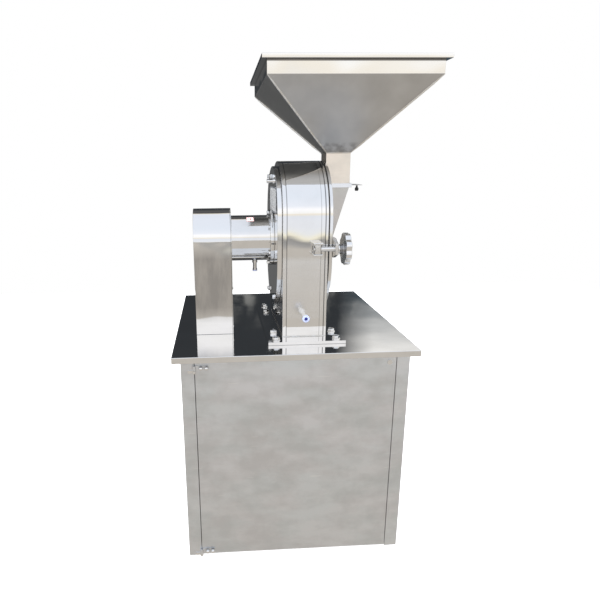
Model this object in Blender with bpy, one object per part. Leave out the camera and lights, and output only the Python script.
# Stainless hammer mill on a cabinet: the rotor turns in an arched casing on the table,
# driven by two vee belts from a motor in the cabinet. The hopper, its neck, the slide gate
# and the feed chute hang on the mill's door. Metres, +Z up, -Y is the front, origin on the
# floor under the middle of the cabinet.
import math

import bmesh
import bpy
from mathutils import Matrix, Vector

# ---- driving dimensions: fits
gap = 0.0003              # between pieces that touch
through = 0.010           # how far a cutter runs past what it cuts

# ---- cabinet and table
table_w = 0.610
table_d = 0.662
table_z = 0.577           # top face of the table above the floor
table_t = 0.003
rim_drop = 0.016
overhang = 0.020          # table past the cabinet, all round
sheet_t = 0.002
stile_w = 0.033
lip_d = 0.012             # folded edges of the stiles and of the door
seam = 0.0015             # round the cabinet door
door_lift = 0.004
door_drop = 0.0025        # door top below the table's rim
pan_t = 0.003
pan_rim = 0.025
vent_w = 0.150
vent_h = 0.006
vent_pitch = 0.018
vent_count = 6
vent_z = 0.360

# ---- cabinet door hinges and latch
barrel_r = 0.004
hinge_pin_r = 0.002
leaf_l = 0.036
leaf_h = 0.012
leaf_t = 0.0016
strap_l = 0.016
knuckle_h = 0.0072
leaf_top_down = 0.0095    # top leaf below the door's top edge
leaf_low_up = 0.0055      # bottom leaf above the door's bottom edge
latch_r = 0.0050
latch_head_r = 0.0065
latch_head_t = 0.0022
latch_in = 0.0170         # latch from the door's right edge
latch_down = 0.0160       # latch from the door's top edge
cam_w = 0.010
cam_t = 0.0025
cam_reach = 0.0260

# ---- shaft, casing and mill door
shaft_y = -0.0696
shaft_up = 0.2495         # shaft above the table
arc_up = 0.3046           # centre of the casing's arch above the table
low_arc_up = 0.2000       # centre of the lower arc of the mill door and back plate
casing_x = -0.0139        # left end of the casing's wrap
casing_r = 0.1455         # half width of the casing, and radius of its arch
wrap_w = 0.0969
wrap_t = 0.003
flange_l = 0.0099
flange_r = 0.0073
flange_in = 0.0130        # inward width of both flanges
gasket_t = 0.0024
gasket_w = 0.0115
door_t = 0.008
plate_t = 0.0123
plate_r = 0.133
plate_lap = 0.012         # back plate over the casing's left flange
foot_t = 0.008
foot_left = 0.0283        # base flange past the back plate
foot_right = 0.0322       # base flange past the mill door
foot_y = 0.0454           # base flange past the casing, front and back
outlet_w = 0.070
outlet_d = 0.220
arch_steps = 24

# ---- bearing housing, shaft and belt drive
housing_r = 0.061
housing_l = 0.1125
ring_r = 0.075
ring_t = 0.010
bearing_r = 0.036
bearing_bore = 0.0175
bearing_w = 0.017
bearing_left_in = 0.006
bearing_right_in = 0.016
shaft_step = 0.004        # shaft shoulder between the bearings
shaft_seal_r = 0.020      # hole in the back plate
guard_w = 0.0995
guard_r = 0.081
guard_t = 0.002
guard_hole_r = 0.030
pulley_l = 0.036
pulley_r = 0.045          # on the mill shaft
motor_pulley_r = 0.070
pulley_shaft_r = 0.012
belt_pitch = 0.017
belt_h = 0.008
belt_in = 0.001           # belt back below the pulley's rim
belt_half_out = 0.0063
belt_half_in = 0.0045
groove_side = 0.0007      # clearance beside the belt
groove_deep = 0.0015      # clearance under the belt

# ---- rotor
rotor_seat_r = 0.014
rotor_hub_r = 0.028
rotor_disc_r = 0.095
disc_t = 0.012
disc_from_wrap = 0.024    # disc's left face from the casing's left end
hub_back = 0.015
hub_front = 0.008
thread_r = 0.010
nut_r = 0.017
nut_l = 0.012
hammer_count = 4
hammer_w = 0.022
hammer_tip = 0.112
hammer_root = 0.070
hammer_l = 0.0355
screen_r = 0.128
screen_t = 0.0025
liner_out = 0.112
liner_in = 0.080
liner_tooth = 0.006
liner_l = 0.0297
liner_teeth = 16

# ---- hopper, neck, gate and chute
neck_w = 0.064
neck_d = 0.067
hopper_top_up = 0.2219    # hopper rim above the crown of the casing
hopper_low_up = 0.0189    # foot of the hopper's cone above the crown
hopper_w = 0.426
hopper_d = 0.403
hopper_rim_h = 0.010
hopper_rim_in = 0.012
hopper_skirt = 0.0406
hopper_t = 0.002
gate_down = 0.0640        # underside of the gate plate below the crown
gate_t = 0.002
gate_past = 0.0345        # shut gate plate past the neck
gate_side = 0.001         # plate inside the neck's width
rail_w = 0.0047
rail_up = 0.0040
rail_down = 0.0050
knob_r = 0.0050
knob_h = 0.0150
chute_low = 0.0276        # foot of the chute below the inlet
chute_t = 0.002
inlet_w = 0.060
inlet_low = 0.0415        # inlet below the shaft
inlet_high = 0.0700       # inlet above the shaft

# ---- mill door hinge and clamp
pivot_x = 0.0600
pivot_out = 0.0241        # hinge axis behind the casing
pivot_r = 0.009
pivot_pin_r = 0.0045
pivot_half = 0.030
arm_h = 0.030
arm_t = 0.006
arm_reach = 0.075         # arm forward of the hinge, along the door
bracket_w = 0.040
clamp_out = 0.0199        # clamp axis in front of the casing
clamp_down = 0.0110       # clamp axis below the shaft
ear_w = 0.024
ear_t = 0.005
ear_half = 0.0165
ear_out = 0.011
trunnion_r = 0.0105
trunnion_pin_r = 0.004
screw_r = 0.006
screw_clear = 0.0012
lug_t = 0.008
lug_root = 0.0245
lug_tip = 0.0130
lug_back = 0.025
collar_t = 0.004
collar_r = 0.0115
wheel_r = 0.0400
wheel_t = 0.014
wheel_hub_r = 0.0125
wheel_hub_l = 0.0088
wheel_lobes = 8
wheel_dip = 0.0045
screw_tail = 0.010        # screw past the nut's middle

# ---- motor
motor_y = -0.030
motor_shaft_h = 0.100
motor_r = 0.088
fin_d = 0.010
fin_count = 24
motor_x0 = -0.150
motor_l = 0.260
shield_r = 0.080
shield_l = 0.013
foot_half = 0.080
foot_block = 0.040
motor_shaft_r = 0.014
cover_l = 0.055
cover_r = 0.084
cover_t = 0.002
cover_hole = 0.022
base_half = 0.095
base_h = 0.030
base_t = 0.004
box_w = 0.080
box_d = 0.080
box_h = 0.045
box_from = 0.150          # terminal box from the motor's left end

# ---- discharge spout
spout_t = 0.002
spout_lip = 0.012
spout_mouth = 0.100
spout_mouth_y = -0.190
spout_straight_up = 0.430
spout_end = 0.360

# ---- water nipples and cable gland
nipple_x = 0.0274
nipple_up = 0.072
nipple_l = 0.060
nipple_r = 0.0060
nipple_bore = 0.0035
nipple_base_r = 0.0090
nipple_base_l = 0.010
nipple_cap_r = 0.0085
nipple_cap_l = 0.015
housing_nipple_x = 0.065  # from the housing's left end
housing_nipple_l = 0.030
housing_nipple_r = 0.0050
plate_nipple_y = 0.0800   # forward of the shaft
plate_nipple_up = 0.0965  # above the arch centre
plate_nipple_l = 0.021
gland_x = 0.180
gland_z = 0.100
gland_r = 0.008
gland_nut_r = 0.012
gland_l = 0.024
gland_bore = 0.004

# ---- places worked out from them
cab_x = table_w / 2 - overhang
cab_y = table_d / 2 - overhang
under_table = table_z - table_t - gap
rim_low = table_z - rim_drop
shaft_z = table_z + shaft_up
arc_z = table_z + arc_up
crown_z = arc_z + casing_r
low_arc_z = table_z + low_arc_up
foot_z = table_z + gap
casing_low = foot_z + foot_t + gap
wrap_x1 = casing_x + wrap_w
flange_x0 = casing_x - flange_l
flange_x1 = wrap_x1 + flange_r
plate_x1 = flange_x0 - gap
plate_x0 = plate_x1 - plate_t
housing_x1 = plate_x0 - gap
housing_x0 = housing_x1 - housing_l
guard_x1 = housing_x0 - gap
guard_x0 = guard_x1 - guard_w
belt_x = (guard_x0 + guard_x1) / 2
door_x0 = flange_x1 + gasket_t + 2 * gap
door_x1 = door_x0 + door_t
outer_x = door_x1 + gap   # pieces fixed on the mill door start here
front_y = shaft_y - casing_r
back_y = shaft_y + casing_r
neck_x = outer_x + neck_w / 2
neck_x1 = outer_x + neck_w
gate_z = crown_z - gate_down
neck_low = gate_z + gate_t + gap
chute_top = gate_z - gap
hopper_low = crown_z + hopper_low_up
hopper_top = crown_z + hopper_top_up
disc_x0 = casing_x + disc_from_wrap
disc_x1 = disc_x0 + disc_t
pivot_y = back_y + pivot_out
clamp_y = front_y - clamp_out
clamp_z = shaft_z - clamp_down
wall_y = front_y - gap
base_top = pan_t + gap + base_h
motor_z = base_top + gap + motor_shaft_h
motor_x1 = motor_x0 + motor_l
outlet_x = (casing_x + wrap_x1) / 2
panel_x = cab_x - stile_w
hinge_x = -panel_x
hinge_y = -cab_y - barrel_r - gap
cabinet_door_top = rim_low - door_drop

steel = ("stainless steel", (0.80, 0.80, 0.79), 0.10, 1.0)
satin = ("satin stainless steel", (0.66, 0.65, 0.63), 0.35, 1.0)
iron = ("machined iron", (0.42, 0.42, 0.43), 0.45, 1.0)
painted = ("motor paint", (0.10, 0.22, 0.34), 0.45, 0.0)
black = ("black rubber", (0.02, 0.02, 0.02), 0.70, 0.0)
plastic = ("black plastic", (0.03, 0.03, 0.03), 0.45, 0.0)


def clear_scene():
    for item in list(bpy.data.objects):
        bpy.data.objects.remove(item, do_unlink=True)


def material(finish, name):
    label, colour, roughness, metallic = finish
    made = bpy.data.materials.new(label + " " + name)
    made.use_nodes = True
    shader = made.node_tree.nodes["Principled BSDF"]
    shader.inputs["Base Color"].default_value = (*colour, 1.0)
    shader.inputs["Roughness"].default_value = roughness
    shader.inputs["Metallic"].default_value = metallic
    return made


def finish_object(mesh_edit, name, finish):
    bmesh.ops.recalc_face_normals(mesh_edit, faces=mesh_edit.faces)
    mesh = bpy.data.meshes.new(name)
    mesh_edit.to_mesh(mesh)
    mesh_edit.free()
    mesh.shade_smooth()
    mesh.set_sharp_from_angle(angle=math.radians(35))
    made = bpy.data.objects.new(name, mesh)
    bpy.context.scene.collection.objects.link(made)
    if finish is not None:
        mesh.materials.append(material(finish, name))
    return made


def skin(name, finish, rings, closed=False):
    # Rings of equal length joined in order: closed makes a tube that meets itself,
    # otherwise the first and last ring are capped.
    mesh_edit = bmesh.new()
    loops = [[mesh_edit.verts.new(point) for point in ring] for ring in rings]
    pairs = list(zip(loops, loops[1:]))
    if closed:
        pairs.append((loops[-1], loops[0]))
    else:
        mesh_edit.faces.new(loops[0])
        mesh_edit.faces.new(loops[-1])
    for first, second in pairs:
        count = len(first)
        for index in range(count):
            after = (index + 1) % count
            mesh_edit.faces.new((first[index], first[after], second[after], second[index]))
    return finish_object(mesh_edit, name, finish)


def prism(name, finish, outline, axis, low, high):
    # The outline is (y, z) along X, (x, z) along Y and (x, y) along Z.
    return skin(name, finish, [on_plane(outline, axis, low), on_plane(outline, axis, high)])


def on_plane(outline, axis, at):
    if axis == "X":
        return [(at, a, b) for a, b in outline]
    if axis == "Y":
        return [(a, at, b) for a, b in outline]
    return [(a, b, at) for a, b in outline]


def rectangle(a0, a1, b0, b1):
    return [(a0, b0), (a1, b0), (a1, b1), (a0, b1)]


def box(name, finish, x0, x1, y0, y1, z0, z1):
    return prism(name, finish, rectangle(x0, x1, y0, y1), "Z", z0, z1)


def circle(a, b, radius, steps):
    turn = 2 * math.pi / steps
    return [(a + radius * math.cos(i * turn), b + radius * math.sin(i * turn)) for i in range(steps)]


def half_round(half, centre_z, start):
    # Half a circle about the shaft's plane, from the angle start anticlockwise, in (y, z).
    points = []
    for step in range(arch_steps + 1):
        angle = start + math.pi * step / arch_steps
        points.append((shaft_y + half * math.cos(angle), centre_z + half * math.sin(angle)))
    return points


def arch(half, low, centre):
    # Flat foot, straight sides and a half-round top.
    return half_round(half, centre, 0) + [(shaft_y - half, low), (shaft_y + half, low)]


def footed(half, low):
    # The casing's arch, with one foot point for each point of a lower half circle.
    foot = [(y, low) for y, z in half_round(half, low, math.pi)]
    return half_round(half, arc_z, 0) + foot


def obround(half):
    # Straight sides between the upper arc and the lower arc.
    return half_round(half, arc_z, 0) + half_round(half, low_arc_z, math.pi)


def turned(name, finish, profile, axis, centre, steps=24, bored=False):
    # The profile is (along the axis, radius). A bored profile runs round the wall's section.
    rings = [on_plane(circle(*centre, radius, steps), axis, along) for along, radius in profile]
    return skin(name, finish, rings, closed=bored)


def guide(item):
    item.hide_render = True
    item.display_type = "WIRE"
    return item


def cut(item, cutter):
    modifier = item.modifiers.new("cut", "BOOLEAN")
    modifier.operation = "DIFFERENCE"
    modifier.solver = "EXACT"
    modifier.object = guide(cutter)
    return item


def weld(item, other):
    modifier = item.modifiers.new("weld", "BOOLEAN")
    modifier.operation = "UNION"
    modifier.solver = "EXACT"
    modifier.object = guide(other)
    return item


def cut_round(item, axis, centre, radius, low, high, steps=20):
    return cut(item, prism(item.name + "_hole", None, circle(*centre, radius, steps), axis, low, high))


def cut_box(item, x0, x1, y0, y1, z0, z1):
    return cut(item, box(item.name + "_opening", None, x0, x1, y0, y1, z0, z1))


# ---- cabinet
def cabinet_side(name, side):
    # Side wall, front stile with its folded lip, and rear stile, bent from one sheet.
    inner = panel_x
    outline = [
        (inner, -cab_y),
        (cab_x, -cab_y),
        (cab_x, cab_y),
        (inner, cab_y),
        (inner, cab_y - sheet_t),
        (cab_x - sheet_t, cab_y - sheet_t),
        (cab_x - sheet_t, -cab_y + sheet_t),
        (inner + sheet_t, -cab_y + sheet_t),
        (inner + sheet_t, -cab_y + lip_d),
        (inner, -cab_y + lip_d),
    ]
    prism(name, satin, [(side * x, y) for x, y in outline], "Z", 0, under_table)


def cabinet():
    cabinet_side("left_side", -1)
    cabinet_side("right_side", 1)
    rear = box("rear_panel", satin, -panel_x + gap, panel_x - gap, cab_y - sheet_t, cab_y, 0, under_table)
    for index in range(vent_count):
        low = vent_z + index * vent_pitch
        cut_box(rear, -vent_w / 2, vent_w / 2, cab_y - sheet_t - through, cab_y + through, low, low + vent_h)
    cut_round(rear, "Y", (gland_x, gland_z), gland_r + gap, cab_y - sheet_t - through, cab_y + through)

    inner_x = cab_x - sheet_t - gap
    pan_back = cab_y - sheet_t - gap
    pan_front = -cab_y + lip_d + 2 * door_lift
    skin("floor_pan", satin, [
        on_plane(rectangle(-inner_x, inner_x, pan_front, pan_back), "Z", 0),
        on_plane(rectangle(-inner_x, inner_x, pan_front, pan_back), "Z", pan_rim),
        on_plane(rectangle(-inner_x + sheet_t, inner_x - sheet_t, pan_front + sheet_t, pan_back - sheet_t),
                 "Z", pan_rim),
        on_plane(rectangle(-inner_x + sheet_t, inner_x - sheet_t, pan_front + sheet_t, pan_back - sheet_t),
                 "Z", pan_t),
    ])

    half_w, half_d = table_w / 2, table_d / 2
    in_w, in_d = half_w - table_t, half_d - table_t
    table = skin("table_top", steel, [
        on_plane(rectangle(-in_w, in_w, -in_d, in_d), "Z", table_z - table_t),
        on_plane(rectangle(-in_w, in_w, -in_d, in_d), "Z", rim_low),
        on_plane(rectangle(-half_w, half_w, -half_d, half_d), "Z", rim_low),
        on_plane(rectangle(-half_w, half_w, -half_d, half_d), "Z", table_z),
    ])
    slot_y, slot_half = belt_slot()
    groove_half = pulley_l / 2 + guard_t
    cut_box(table, belt_x - groove_half, belt_x + groove_half, slot_y - slot_half, slot_y + slot_half,
            table_z - table_t - through, table_z + through)
    cut_box(table, *outlet_box(), table_z - table_t - through, table_z + through)


def belt_slot():
    # Middle and half length of the slot that both belt strands pass through.
    share = (shaft_z - table_z) / (shaft_z - motor_z)
    middle = shaft_y + share * (motor_y - shaft_y)
    half = pulley_r + share * (motor_pulley_r - pulley_r)
    return middle, half + 2 * guard_t


def outlet_box():
    return (outlet_x - outlet_w / 2, outlet_x + outlet_w / 2, shaft_y - outlet_d / 2, shaft_y + outlet_d / 2)


def cabinet_door():
    half = panel_x - seam
    outer = rectangle(-half, half, door_lift, cabinet_door_top)
    inner = rectangle(-half + sheet_t, half - sheet_t, door_lift + sheet_t, cabinet_door_top - sheet_t)
    door = skin("cabinet_door", satin, [
        on_plane(outer, "Y", -cab_y),
        on_plane(outer, "Y", -cab_y + lip_d),
        on_plane(inner, "Y", -cab_y + lip_d),
        on_plane(inner, "Y", -cab_y + sheet_t),
    ])
    latch_x = half - latch_in
    latch_z = cabinet_door_top - latch_down
    cut_round(door, "Y", (latch_x, latch_z), latch_r + gap, -cab_y - through, -cab_y + lip_d - 2 * sheet_t)
    cam_y = -cab_y + lip_d + gap
    latch = turned("door_latch", steel, [
        (-cab_y - gap - latch_head_t, latch_head_r),
        (-cab_y - gap, latch_head_r),
        (-cab_y - gap, latch_r),
        (cam_y + cam_t, latch_r),
    ], "Y", (latch_x, latch_z), steps=20)
    weld(latch, box("latch_cam", None, latch_x - cam_w / 2, latch_x + cam_w / 2, cam_y, cam_y + cam_t + gap,
                    latch_z - cam_reach, latch_z + cam_w / 2))
    rise = cabinet_door_top - leaf_top_down - leaf_h
    cabinet_hinge("top", rise)
    cabinet_hinge("bottom", door_lift + leaf_low_up)


def cabinet_hinge(place, leaf_z):
    # A lift-off hinge: the stile's strap carries the pin, the door's leaf sits on it.
    leaf_y = -cab_y - gap
    low = leaf_z - gap - knuckle_h
    pin = turned("hinge_pin_" + place, steel, [
        (low, barrel_r),
        (leaf_z - gap, barrel_r),
        (leaf_z - gap, hinge_pin_r),
        (leaf_z + leaf_h - 2 * gap, hinge_pin_r),
    ], "Z", (hinge_x, hinge_y), steps=16)
    weld(pin, box("strap_" + place, None, hinge_x - strap_l, hinge_x - hinge_pin_r, leaf_y - leaf_t, leaf_y,
                  low, leaf_z - gap))
    leaf = turned("hinge_leaf_" + place, steel, [
        (leaf_z, barrel_r),
        (leaf_z + leaf_h, barrel_r),
        (leaf_z + leaf_h, hinge_pin_r + gap),
        (leaf_z, hinge_pin_r + gap),
    ], "Z", (hinge_x, hinge_y), steps=16, bored=True)
    weld(leaf, box("plate_" + place, None, hinge_x + hinge_pin_r + 3 * gap, hinge_x + leaf_l,
                   leaf_y - leaf_t, leaf_y, leaf_z, leaf_z + leaf_h))


# ---- motor and belts
def motor():
    low = pan_t + gap
    prism("motor_base", iron, [
        (motor_y - base_half, low),
        (motor_y - base_half, base_top),
        (motor_y + base_half, base_top),
        (motor_y + base_half, low),
        (motor_y + base_half - base_t, low),
        (motor_y + base_half - base_t, base_top - base_t),
        (motor_y - base_half + base_t, base_top - base_t),
        (motor_y - base_half + base_t, low),
    ], "X", motor_x0, motor_x1 - base_t)

    fins = []
    for index in range(fin_count):
        for share, radius in ((-0.30, motor_r - fin_d), (-0.16, motor_r), (0.16, motor_r), (0.30, motor_r - fin_d)):
            angle = 2 * math.pi * (index + 0.5 + share) / fin_count
            fins.append((motor_y + radius * math.cos(angle), motor_z + radius * math.sin(angle)))
    frame = prism("motor_frame", painted, fins, "X", motor_x0, motor_x1)
    weld(frame, box("motor_feet", None, motor_x0 + foot_block, motor_x1 - foot_block, motor_y - foot_half,
                    motor_y + foot_half, base_top + gap, motor_z - motor_r / 2))
    weld(frame, prism("motor_shield", None, circle(motor_y, motor_z, shield_r, 32), "X",
                      motor_x0 - shield_l, motor_x0 + shield_l))
    cut_round(frame, "X", (motor_y, motor_z), motor_shaft_r + gap, motor_x0 - through - shield_l,
              motor_x1 + through)

    start = motor_x1 + gap
    end = start + cover_l
    turned("fan_cover", painted, [
        (start, cover_r),
        (end - fin_d, cover_r),
        (end, cover_r - fin_d),
        (end, cover_hole),
        (end - cover_t, cover_hole),
        (end - cover_t, cover_r - fin_d - cover_t / 2),
        (end - fin_d - cover_t / 2, cover_r - cover_t),
        (start, cover_r - cover_t),
    ], "X", (motor_y, motor_z), steps=32, bored=True)

    box_low = motor_z + motor_r + gap
    box_x = motor_x0 + box_from
    box("terminal_box", painted, box_x, box_x + box_w, motor_y - box_d / 2, motor_y + box_d / 2,
        box_low, box_low + box_h)

    turned("motor_shaft", iron, [
        (belt_x - pulley_l / 2 - gap, pulley_shaft_r),
        (belt_x + pulley_l / 2 + gap, pulley_shaft_r),
        (belt_x + pulley_l / 2 + gap, motor_shaft_r),
        (end - cover_l / 2, motor_shaft_r),
    ], "X", (motor_y, motor_z))
    pulley("motor_pulley", motor_pulley_r, (motor_y, motor_z))


def pulley(name, radius, centre):
    # Two vee grooves turned into a bored blank.
    left = belt_x - pulley_l / 2
    right = belt_x + pulley_l / 2
    bottom = radius - belt_in - belt_h - groove_deep
    profile = [(left, pulley_shaft_r + gap), (left, radius)]
    for index in range(2):
        middle = belt_x + (index - 0.5) * belt_pitch
        profile.append((middle - belt_half_out - groove_side, radius))
        profile.append((middle - belt_half_in - groove_side, bottom))
        profile.append((middle + belt_half_in + groove_side, bottom))
        profile.append((middle + belt_half_out + groove_side, radius))
    profile.append((right, radius))
    profile.append((right, pulley_shaft_r + gap))
    turned(name, iron, profile, "X", centre, steps=32, bored=True)


def belt(name, middle):
    # An open belt: two straight runs tangent to both pulleys, and an arc round each.
    run = Vector((motor_y - shaft_y, motor_z - shaft_z))
    heading = math.atan2(run.y, run.x)
    lean = math.acos((pulley_r - motor_pulley_r) / run.length)
    steps = 14
    stations = []
    for step in range(steps + 1):
        angle = heading + lean + (2 * math.pi - 2 * lean) * step / steps
        stations.append((shaft_y, shaft_z, pulley_r, angle))
    for step in range(steps + 1):
        angle = heading - lean + 2 * lean * step / steps
        stations.append((motor_y, motor_z, motor_pulley_r, angle))
    rings = []
    for y, z, radius, angle in stations:
        back = radius - belt_in
        face = back - belt_h
        across, up = math.cos(angle), math.sin(angle)
        section = ((-belt_half_in, face), (belt_half_in, face), (belt_half_out, back), (-belt_half_out, back))
        rings.append([(middle + x, y + r * across, z + r * up) for x, r in section])
    skin(name, black, rings, closed=True)


def belt_drive():
    belt("drive_belt_outer", belt_x - belt_pitch / 2)
    belt("drive_belt_inner", belt_x + belt_pitch / 2)
    pulley("rotor_pulley", pulley_r, (shaft_y, shaft_z))
    shell_x1 = guard_x1 - guard_t - gap
    guard = prism("belt_guard", steel, arch(guard_r, foot_z, shaft_z), "X", guard_x0, shell_x1)
    cut(guard, prism("guard_inside", None, arch(guard_r - guard_t, foot_z - through, shaft_z), "X",
                     guard_x0 + guard_t, shell_x1 + through))
    back = prism("guard_backplate", steel, arch(guard_r, foot_z, shaft_z), "X",
                 guard_x1 - guard_t, guard_x1)
    cut_round(back, "X", (shaft_y, shaft_z), guard_hole_r, guard_x1 - through, guard_x1 + through)


# ---- bearings, casing and rotor
def bearing(name, low):
    high = low + bearing_w
    turned(name, iron, [
        (low, bearing_bore),
        (low, bearing_r),
        (high, bearing_r),
        (high, bearing_bore),
    ], "X", (shaft_y, shaft_z), steps=32, bored=True)


def bearing_housing():
    seat = bearing_r + gap
    left = housing_x0 + bearing_left_in
    right = housing_x1 - bearing_right_in - bearing_w
    turned("bearing_housing", steel, [
        (housing_x0, housing_r),
        (housing_x1 - ring_t, housing_r),
        (housing_x1 - ring_t, ring_r),
        (housing_x1, ring_r),
        (housing_x1, seat),
        (right - gap, seat),
        (right - gap, guard_hole_r),
        (left + bearing_w + gap, guard_hole_r),
        (left + bearing_w + gap, seat),
        (housing_x0, seat),
    ], "X", (shaft_y, shaft_z), steps=40, bored=True)
    bearing("bearing_outer", left)
    bearing("bearing_inner", right)
    step_r = bearing_bore + shaft_step
    journal = bearing_bore - gap
    hub_x0 = disc_x0 - hub_back
    nut_x0 = disc_x1 + hub_front + gap
    turned("rotor_shaft", iron, [
        (belt_x - pulley_l / 2 - gap, pulley_shaft_r),
        (belt_x + pulley_l / 2 + gap, pulley_shaft_r),
        (belt_x + pulley_l / 2 + gap, journal),
        (left + bearing_w + gap, journal),
        (left + bearing_w + gap, step_r),
        (right - gap, step_r),
        (right - gap, journal),
        (hub_x0 - gap, journal),
        (hub_x0 - gap, rotor_seat_r),
        (nut_x0 - gap, rotor_seat_r),
        (nut_x0 - gap, thread_r),
        (nut_x0 + nut_l + table_t, thread_r),
    ], "X", (shaft_y, shaft_z))
    nut = prism("rotor_nut", iron, circle(shaft_y, shaft_z, nut_r, 6), "X", nut_x0, nut_x0 + nut_l)
    cut_round(nut, "X", (shaft_y, shaft_z), thread_r + gap, nut_x0 - through, nut_x0 + nut_l + through)


def rotor():
    bore = rotor_seat_r + gap
    turned("rotor_disc", iron, [
        (disc_x0 - hub_back, bore),
        (disc_x0 - hub_back, rotor_hub_r),
        (disc_x0, rotor_hub_r),
        (disc_x0, rotor_disc_r),
        (disc_x1, rotor_disc_r),
        (disc_x1, rotor_hub_r),
        (disc_x1 + hub_front, rotor_hub_r),
        (disc_x1 + hub_front, bore),
    ], "X", (shaft_y, shaft_z), steps=40, bored=True)
    start = disc_x1 + gap
    for index in range(hammer_count):
        outline = rectangle(hammer_root, hammer_tip, -hammer_w / 2, hammer_w / 2)
        angle = 2 * math.pi * (index + 0.5) / hammer_count
        turn = Matrix.Rotation(angle, 2)
        placed = [turn @ Vector(point) for point in outline]
        prism("hammer_%d" % (index + 1), iron, [(shaft_y + p.x, shaft_z + p.y) for p in placed], "X",
              start, start + hammer_l)


def casing():
    outer = footed(casing_r, casing_low)
    opening = obround(casing_r - flange_in)
    back_opening = obround(plate_r - plate_lap)
    inside = footed(casing_r - wrap_t, casing_low + wrap_t)
    shell = skin("mill_casing", steel, [
        on_plane(outer, "X", flange_x0),
        on_plane(outer, "X", flange_x1),
        on_plane(opening, "X", flange_x1),
        on_plane(opening, "X", wrap_x1),
        on_plane(inside, "X", wrap_x1),
        on_plane(inside, "X", casing_x),
        on_plane(back_opening, "X", casing_x),
        on_plane(back_opening, "X", flange_x0),
    ], closed=True)
    cut_box(shell, *outlet_box(), casing_low - through, casing_low + through)

    plate = prism("back_plate", steel, obround(plate_r), "X", plate_x0, plate_x1)
    cut_round(plate, "X", (shaft_y, shaft_z), shaft_seal_r, plate_x0 - through, plate_x1 + through)

    foot = box("base_flange", steel, plate_x0 - foot_left, door_x1 + foot_right, front_y - foot_y,
               back_y + foot_y, foot_z, foot_z + foot_t)
    cut_box(foot, *outlet_box(), foot_z - through, foot_z + foot_t + through)

    turned("screen_ring", satin, [
        (casing_x + gap, screen_r),
        (door_x0 - 2 * gap, screen_r),
        (door_x0 - 2 * gap, screen_r - screen_t),
        (casing_x + gap, screen_r - screen_t),
    ], "X", (shaft_y, shaft_z), steps=48, bored=True)

    start = flange_x1 + gap
    seal_out = obround(casing_r - gap)
    seal_in = obround(casing_r - gasket_w)
    skin("door_gasket", black, [
        on_plane(seal_out, "X", start),
        on_plane(seal_out, "X", start + gasket_t),
        on_plane(seal_in, "X", start + gasket_t),
        on_plane(seal_in, "X", start),
    ], closed=True)


def spout():
    top = under_table
    x0, x1, y0, y1 = outlet_box()
    mouth_x = (x0 + x1) / 2
    half = spout_mouth / 2

    def ring(grow, z, lower):
        if lower:
            return on_plane(rectangle(mouth_x - half - grow, mouth_x + half + grow,
                                      spout_mouth_y - half - grow, spout_mouth_y + half + grow), "Z", z)
        return on_plane(rectangle(x0 - grow, x1 + grow, y0 - grow, y1 + grow), "Z", z)

    skin("discharge_spout", satin, [
        ring(spout_lip, top, False),
        ring(spout_lip, top - spout_t, False),
        ring(spout_t, top - spout_t, False),
        ring(spout_t, top - 2 * spout_lip, False),
        ring(spout_t, spout_straight_up, True),
        ring(spout_t, spout_end, True),
        ring(0, spout_end, True),
        ring(0, spout_straight_up, True),
        ring(0, top - 2 * spout_lip, False),
        ring(0, top, False),
    ], closed=True)


# ---- mill door with all that swings on it
def mill_door():
    door = prism("mill_door", steel, obround(casing_r), "X", door_x0, door_x1)
    cut_box(door, door_x0 - through, door_x1 + through, shaft_y - inlet_w / 2, shaft_y + inlet_w / 2,
            shaft_z - inlet_low, shaft_z + inlet_high)

    count = 4 * liner_teeth
    round_out = circle(shaft_y, shaft_z, liner_out, count)
    toothed = []
    for index in range(count):
        radius = liner_in if index % 4 < 2 else liner_in + liner_tooth
        angle = 2 * math.pi * index / count
        toothed.append((shaft_y + radius * math.cos(angle), shaft_z + radius * math.sin(angle)))
    end = door_x0 - gap
    skin("liner_ring", iron, [
        on_plane(round_out, "X", end - liner_l),
        on_plane(round_out, "X", end),
        on_plane(toothed, "X", end),
        on_plane(toothed, "X", end - liner_l),
    ], closed=True)

    low = shaft_z - inlet_low - chute_low
    half = neck_d / 2
    chute = prism("feed_chute", steel, [
        (outer_x, low),
        (outer_x + chute_t, low),
        (neck_x1, chute_top),
        (outer_x, chute_top),
    ], "Y", shaft_y - half, shaft_y + half)
    slope = (neck_w - chute_t) / (chute_top - low)
    inner_low = low + 2 * chute_t / slope
    inner_top = chute_top + through
    cut(chute, prism("chute_inside", None, [
        (outer_x - through, inner_low - through / slope),
        (outer_x, inner_low),
        (outer_x + (inner_top - inner_low) * slope, inner_top),
        (outer_x - through, inner_top),
    ], "Y", shaft_y - half + chute_t, shaft_y + half - chute_t))


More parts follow.
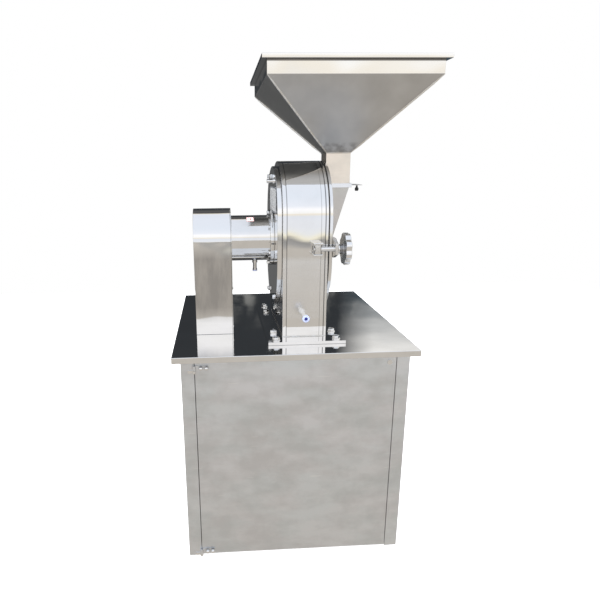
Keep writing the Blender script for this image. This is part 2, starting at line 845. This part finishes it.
def hopper():
    def ring(half_w, half_d, z):
        return on_plane(rectangle(neck_x - half_w, neck_x + half_w, shaft_y - half_d, shaft_y + half_d), "Z", z)

    rim_w, rim_d = hopper_w / 2, hopper_d / 2
    skirt_w, skirt_d = rim_w - hopper_rim_in, rim_d - hopper_rim_in
    foot_w, foot_d = neck_w / 2, neck_d / 2
    skirt_low = hopper_top - hopper_skirt
    skin("hopper", steel, [
        ring(rim_w, rim_d, hopper_top),
        ring(rim_w, rim_d, hopper_top - hopper_rim_h),
        ring(skirt_w, skirt_d, hopper_top - hopper_rim_h),
        ring(skirt_w, skirt_d, skirt_low),
        ring(foot_w, foot_d, hopper_low),
        ring(foot_w - hopper_t, foot_d - hopper_t, hopper_low),
        ring(skirt_w - hopper_t, skirt_d - hopper_t, skirt_low),
        ring(skirt_w - hopper_t, skirt_d - hopper_t, hopper_top),
    ], closed=True)
    skin("hopper_neck", steel, [
        ring(foot_w, foot_d, hopper_low - gap),
        ring(foot_w, foot_d, neck_low),
        ring(foot_w - hopper_t, foot_d - hopper_t, neck_low),
        ring(foot_w - hopper_t, foot_d - hopper_t, hopper_low - gap),
    ], closed=True)

    inner = neck_d / 2 + gap
    outer = inner + rail_w
    bar0 = neck_x1 + gap
    bar1 = bar0 + rail_w
    frame = prism("gate_frame", steel, [
        (outer_x, shaft_y - outer),
        (bar1, shaft_y - outer),
        (bar1, shaft_y + outer),
        (outer_x, shaft_y + outer),
        (outer_x, shaft_y + inner),
        (bar0, shaft_y + inner),
        (bar0, shaft_y - inner),
        (outer_x, shaft_y - inner),
    ], "Z", gate_z - rail_down, gate_z + gate_t + rail_up)
    plate_half = neck_d / 2 - gate_side
    cut_box(frame, bar0 - gap / 2, bar1 + through, shaft_y - plate_half - gap, shaft_y + plate_half + gap,
            chute_top, neck_low)
    start = outer_x + hopper_t + gap
    gate_x1 = neck_x1 + gate_past
    box("slide_gate", steel, start, gate_x1, shaft_y - plate_half, shaft_y + plate_half,
        gate_z, gate_z + gate_t)
    knob_x = gate_x1 - 1.2 * knob_r
    turned("gate_knob", plastic, [
        (chute_top, knob_r / 2),
        (chute_top - knob_h / 3, knob_r / 2),
        (chute_top - knob_h / 2, knob_r),
        (chute_top - knob_h * 0.9, knob_r),
        (chute_top - knob_h, knob_r * 0.7),
    ], "Z", (knob_x, shaft_y), steps=16)


def mill_hinge():
    z = clamp_z
    bracket = turned("hinge_bracket", steel, [
        (z - pivot_half - arm_h, pivot_pin_r),
        (z - pivot_half, pivot_pin_r),
        (z - pivot_half, pivot_r),
        (z + pivot_half, pivot_r),
        (z + pivot_half, pivot_pin_r),
        (z + pivot_half + arm_h, pivot_pin_r),
    ], "Z", (pivot_x, pivot_y))
    weld(bracket, box("hinge_web", None, pivot_x - pivot_r * 0.7, pivot_x + pivot_r * 0.7, back_y + 2 * gap,
                      pivot_y, z - pivot_half, z + pivot_half))
    weld(bracket, box("hinge_plate", None, pivot_x - bracket_w / 2, pivot_x + bracket_w / 2, back_y + gap,
                      back_y + arm_t, z - pivot_half, z + pivot_half))
    hinge_arm("hinge_arm_upper", z + pivot_half + gap)
    hinge_arm("hinge_arm_lower", z - pivot_half - gap - arm_h)


def hinge_arm(name, low):
    high = low + arm_h
    arm = turned(name, steel, [
        (low, pivot_r),
        (high, pivot_r),
        (high, pivot_pin_r + gap),
        (low, pivot_pin_r + gap),
    ], "Z", (pivot_x, pivot_y), bored=True)
    start = pivot_x + (pivot_r + pivot_pin_r) / 2
    weld(arm, prism(name + "_strap", None, [
        (start, pivot_y - arm_t / 2),
        (outer_x, pivot_y - arm_t / 2),
        (outer_x, pivot_y - arm_reach),
        (outer_x + arm_t, pivot_y - arm_reach),
        (outer_x + arm_t, pivot_y + arm_t / 2),
        (start, pivot_y + arm_t / 2),
    ], "Z", low, high))


def door_clamp():
    # A screw captive in the mill door's lug runs into a swivel nut between two ears.
    out = clamp_y - ear_out
    inner = ear_half - ear_t
    bracket = prism("clamp_bracket", steel, [
        (wall_y, clamp_z + ear_half),
        (out, clamp_z + ear_half),
        (out, clamp_z + inner),
        (wall_y - ear_t, clamp_z + inner),
        (wall_y - ear_t, clamp_z - inner),
        (out, clamp_z - inner),
        (out, clamp_z - ear_half),
        (wall_y, clamp_z - ear_half),
    ], "X", pivot_x - ear_w / 2, pivot_x + ear_w / 2)
    cut_round(bracket, "Z", (pivot_x, clamp_y), trunnion_pin_r + gap, clamp_z - ear_half - through,
              clamp_z + ear_half + through, steps=16)
    nut = turned("clamp_nut", steel, [
        (clamp_z - ear_half, trunnion_pin_r),
        (clamp_z - inner + gap, trunnion_pin_r),
        (clamp_z - inner + gap, trunnion_r),
        (clamp_z + inner - gap, trunnion_r),
        (clamp_z + inner - gap, trunnion_pin_r),
        (clamp_z + ear_half, trunnion_pin_r),
    ], "Z", (pivot_x, clamp_y))
    cut_round(nut, "X", (clamp_y, clamp_z), screw_r + screw_clear, pivot_x - 2 * trunnion_r,
              pivot_x + 2 * trunnion_r)

    lug = prism("clamp_lug", steel, [
        (front_y + lug_back, clamp_z + lug_root),
        (front_y, clamp_z + lug_root),
        (clamp_y - lug_tip, clamp_z + lug_tip),
        (clamp_y - lug_tip, clamp_z - lug_tip),
        (front_y, clamp_z - lug_root),
        (front_y + lug_back, clamp_z - lug_root),
    ], "X", outer_x, outer_x + lug_t)
    cut_round(lug, "X", (clamp_y, clamp_z), screw_r + 2 * gap, outer_x - through, outer_x + lug_t + through)

    collar_x = outer_x + lug_t + gap
    turned("clamp_collar", steel, [
        (collar_x, collar_r),
        (collar_x + collar_t, collar_r),
        (collar_x + collar_t, screw_r + gap),
        (collar_x, screw_r + gap),
    ], "X", (clamp_y, clamp_z), bored=True)
    hub_x = collar_x + collar_t + gap
    rim_x = hub_x + wheel_hub_l
    steps = 6 * wheel_lobes
    rim = []
    for index in range(steps):
        angle = 2 * math.pi * index / steps
        radius = wheel_r - wheel_dip * (0.5 + 0.5 * math.cos(wheel_lobes * angle)) ** 2
        rim.append((clamp_y + radius * math.cos(angle), clamp_z + radius * math.sin(angle)))
    wheel = prism("handwheel", steel, rim, "X", rim_x, rim_x + wheel_t)
    weld(wheel, prism("wheel_hub", None, circle(clamp_y, clamp_z, wheel_hub_r, 24), "X", hub_x, rim_x + gap))
    cut_round(wheel, "X", (clamp_y, clamp_z), screw_r + gap, hub_x - through, rim_x + wheel_t + through)
    turned("clamp_screw", steel, [
        (pivot_x - screw_tail, screw_r),
        (rim_x + wheel_t - table_t, screw_r),
    ], "X", (clamp_y, clamp_z), steps=20)


# ---- nipples and gland
def nipple(name, axis, centre, start, way, length, radius, base_r, base_l, tip_r, tip_l):
    # Hose nipple: a base against the wall, a tube and a thicker tip, bored right through.
    def at(along):
        return start + way * along

    turned(name, steel, [
        (at(0), base_r),
        (at(base_l), base_r),
        (at(base_l), radius),
        (at(length - tip_l), radius),
        (at(length - tip_l), tip_r),
        (at(length), tip_r),
        (at(length), nipple_bore),
        (at(0), nipple_bore),
    ], axis, centre, steps=20, bored=True)


def fittings():
    nipple("casing_nipple", "Y", (nipple_x, table_z + nipple_up), wall_y, -1, nipple_l, nipple_r,
           nipple_base_r, nipple_base_l, nipple_cap_r, nipple_cap_l)
    low_r = housing_nipple_r + sheet_t
    nipple("housing_nipple", "Z", (housing_x0 + housing_nipple_x, shaft_y), shaft_z - housing_r - gap, -1,
           housing_nipple_l, housing_nipple_r, low_r, low_r, housing_nipple_r + sheet_t / 2, low_r)
    nipple("plate_nipple", "X", (shaft_y - plate_nipple_y, arc_z + plate_nipple_up), plate_x0 - gap, -1,
           plate_nipple_l, housing_nipple_r - sheet_t / 2, low_r - sheet_t / 2, low_r, housing_nipple_r, low_r)
    turned("cable_gland", plastic, [
        (cab_y - sheet_t - lip_d / 2, gland_r),
        (cab_y + gap, gland_r),
        (cab_y + gap, gland_nut_r),
        (cab_y + gap + gland_l / 2, gland_nut_r),
        (cab_y + gap + gland_l, gland_r),
        (cab_y + gap + gland_l, gland_bore),
        (cab_y - sheet_t - lip_d / 2, gland_bore),
    ], "Y", (gland_x, gland_z), steps=20, bored=True)


def main():
    clear_scene()
    cabinet()
    cabinet_door()
    motor()
    belt_drive()
    bearing_housing()
    rotor()
    casing()
    spout()
    mill_door()
    hopper()
    mill_hinge()
    door_clamp()
    fittings()


main()
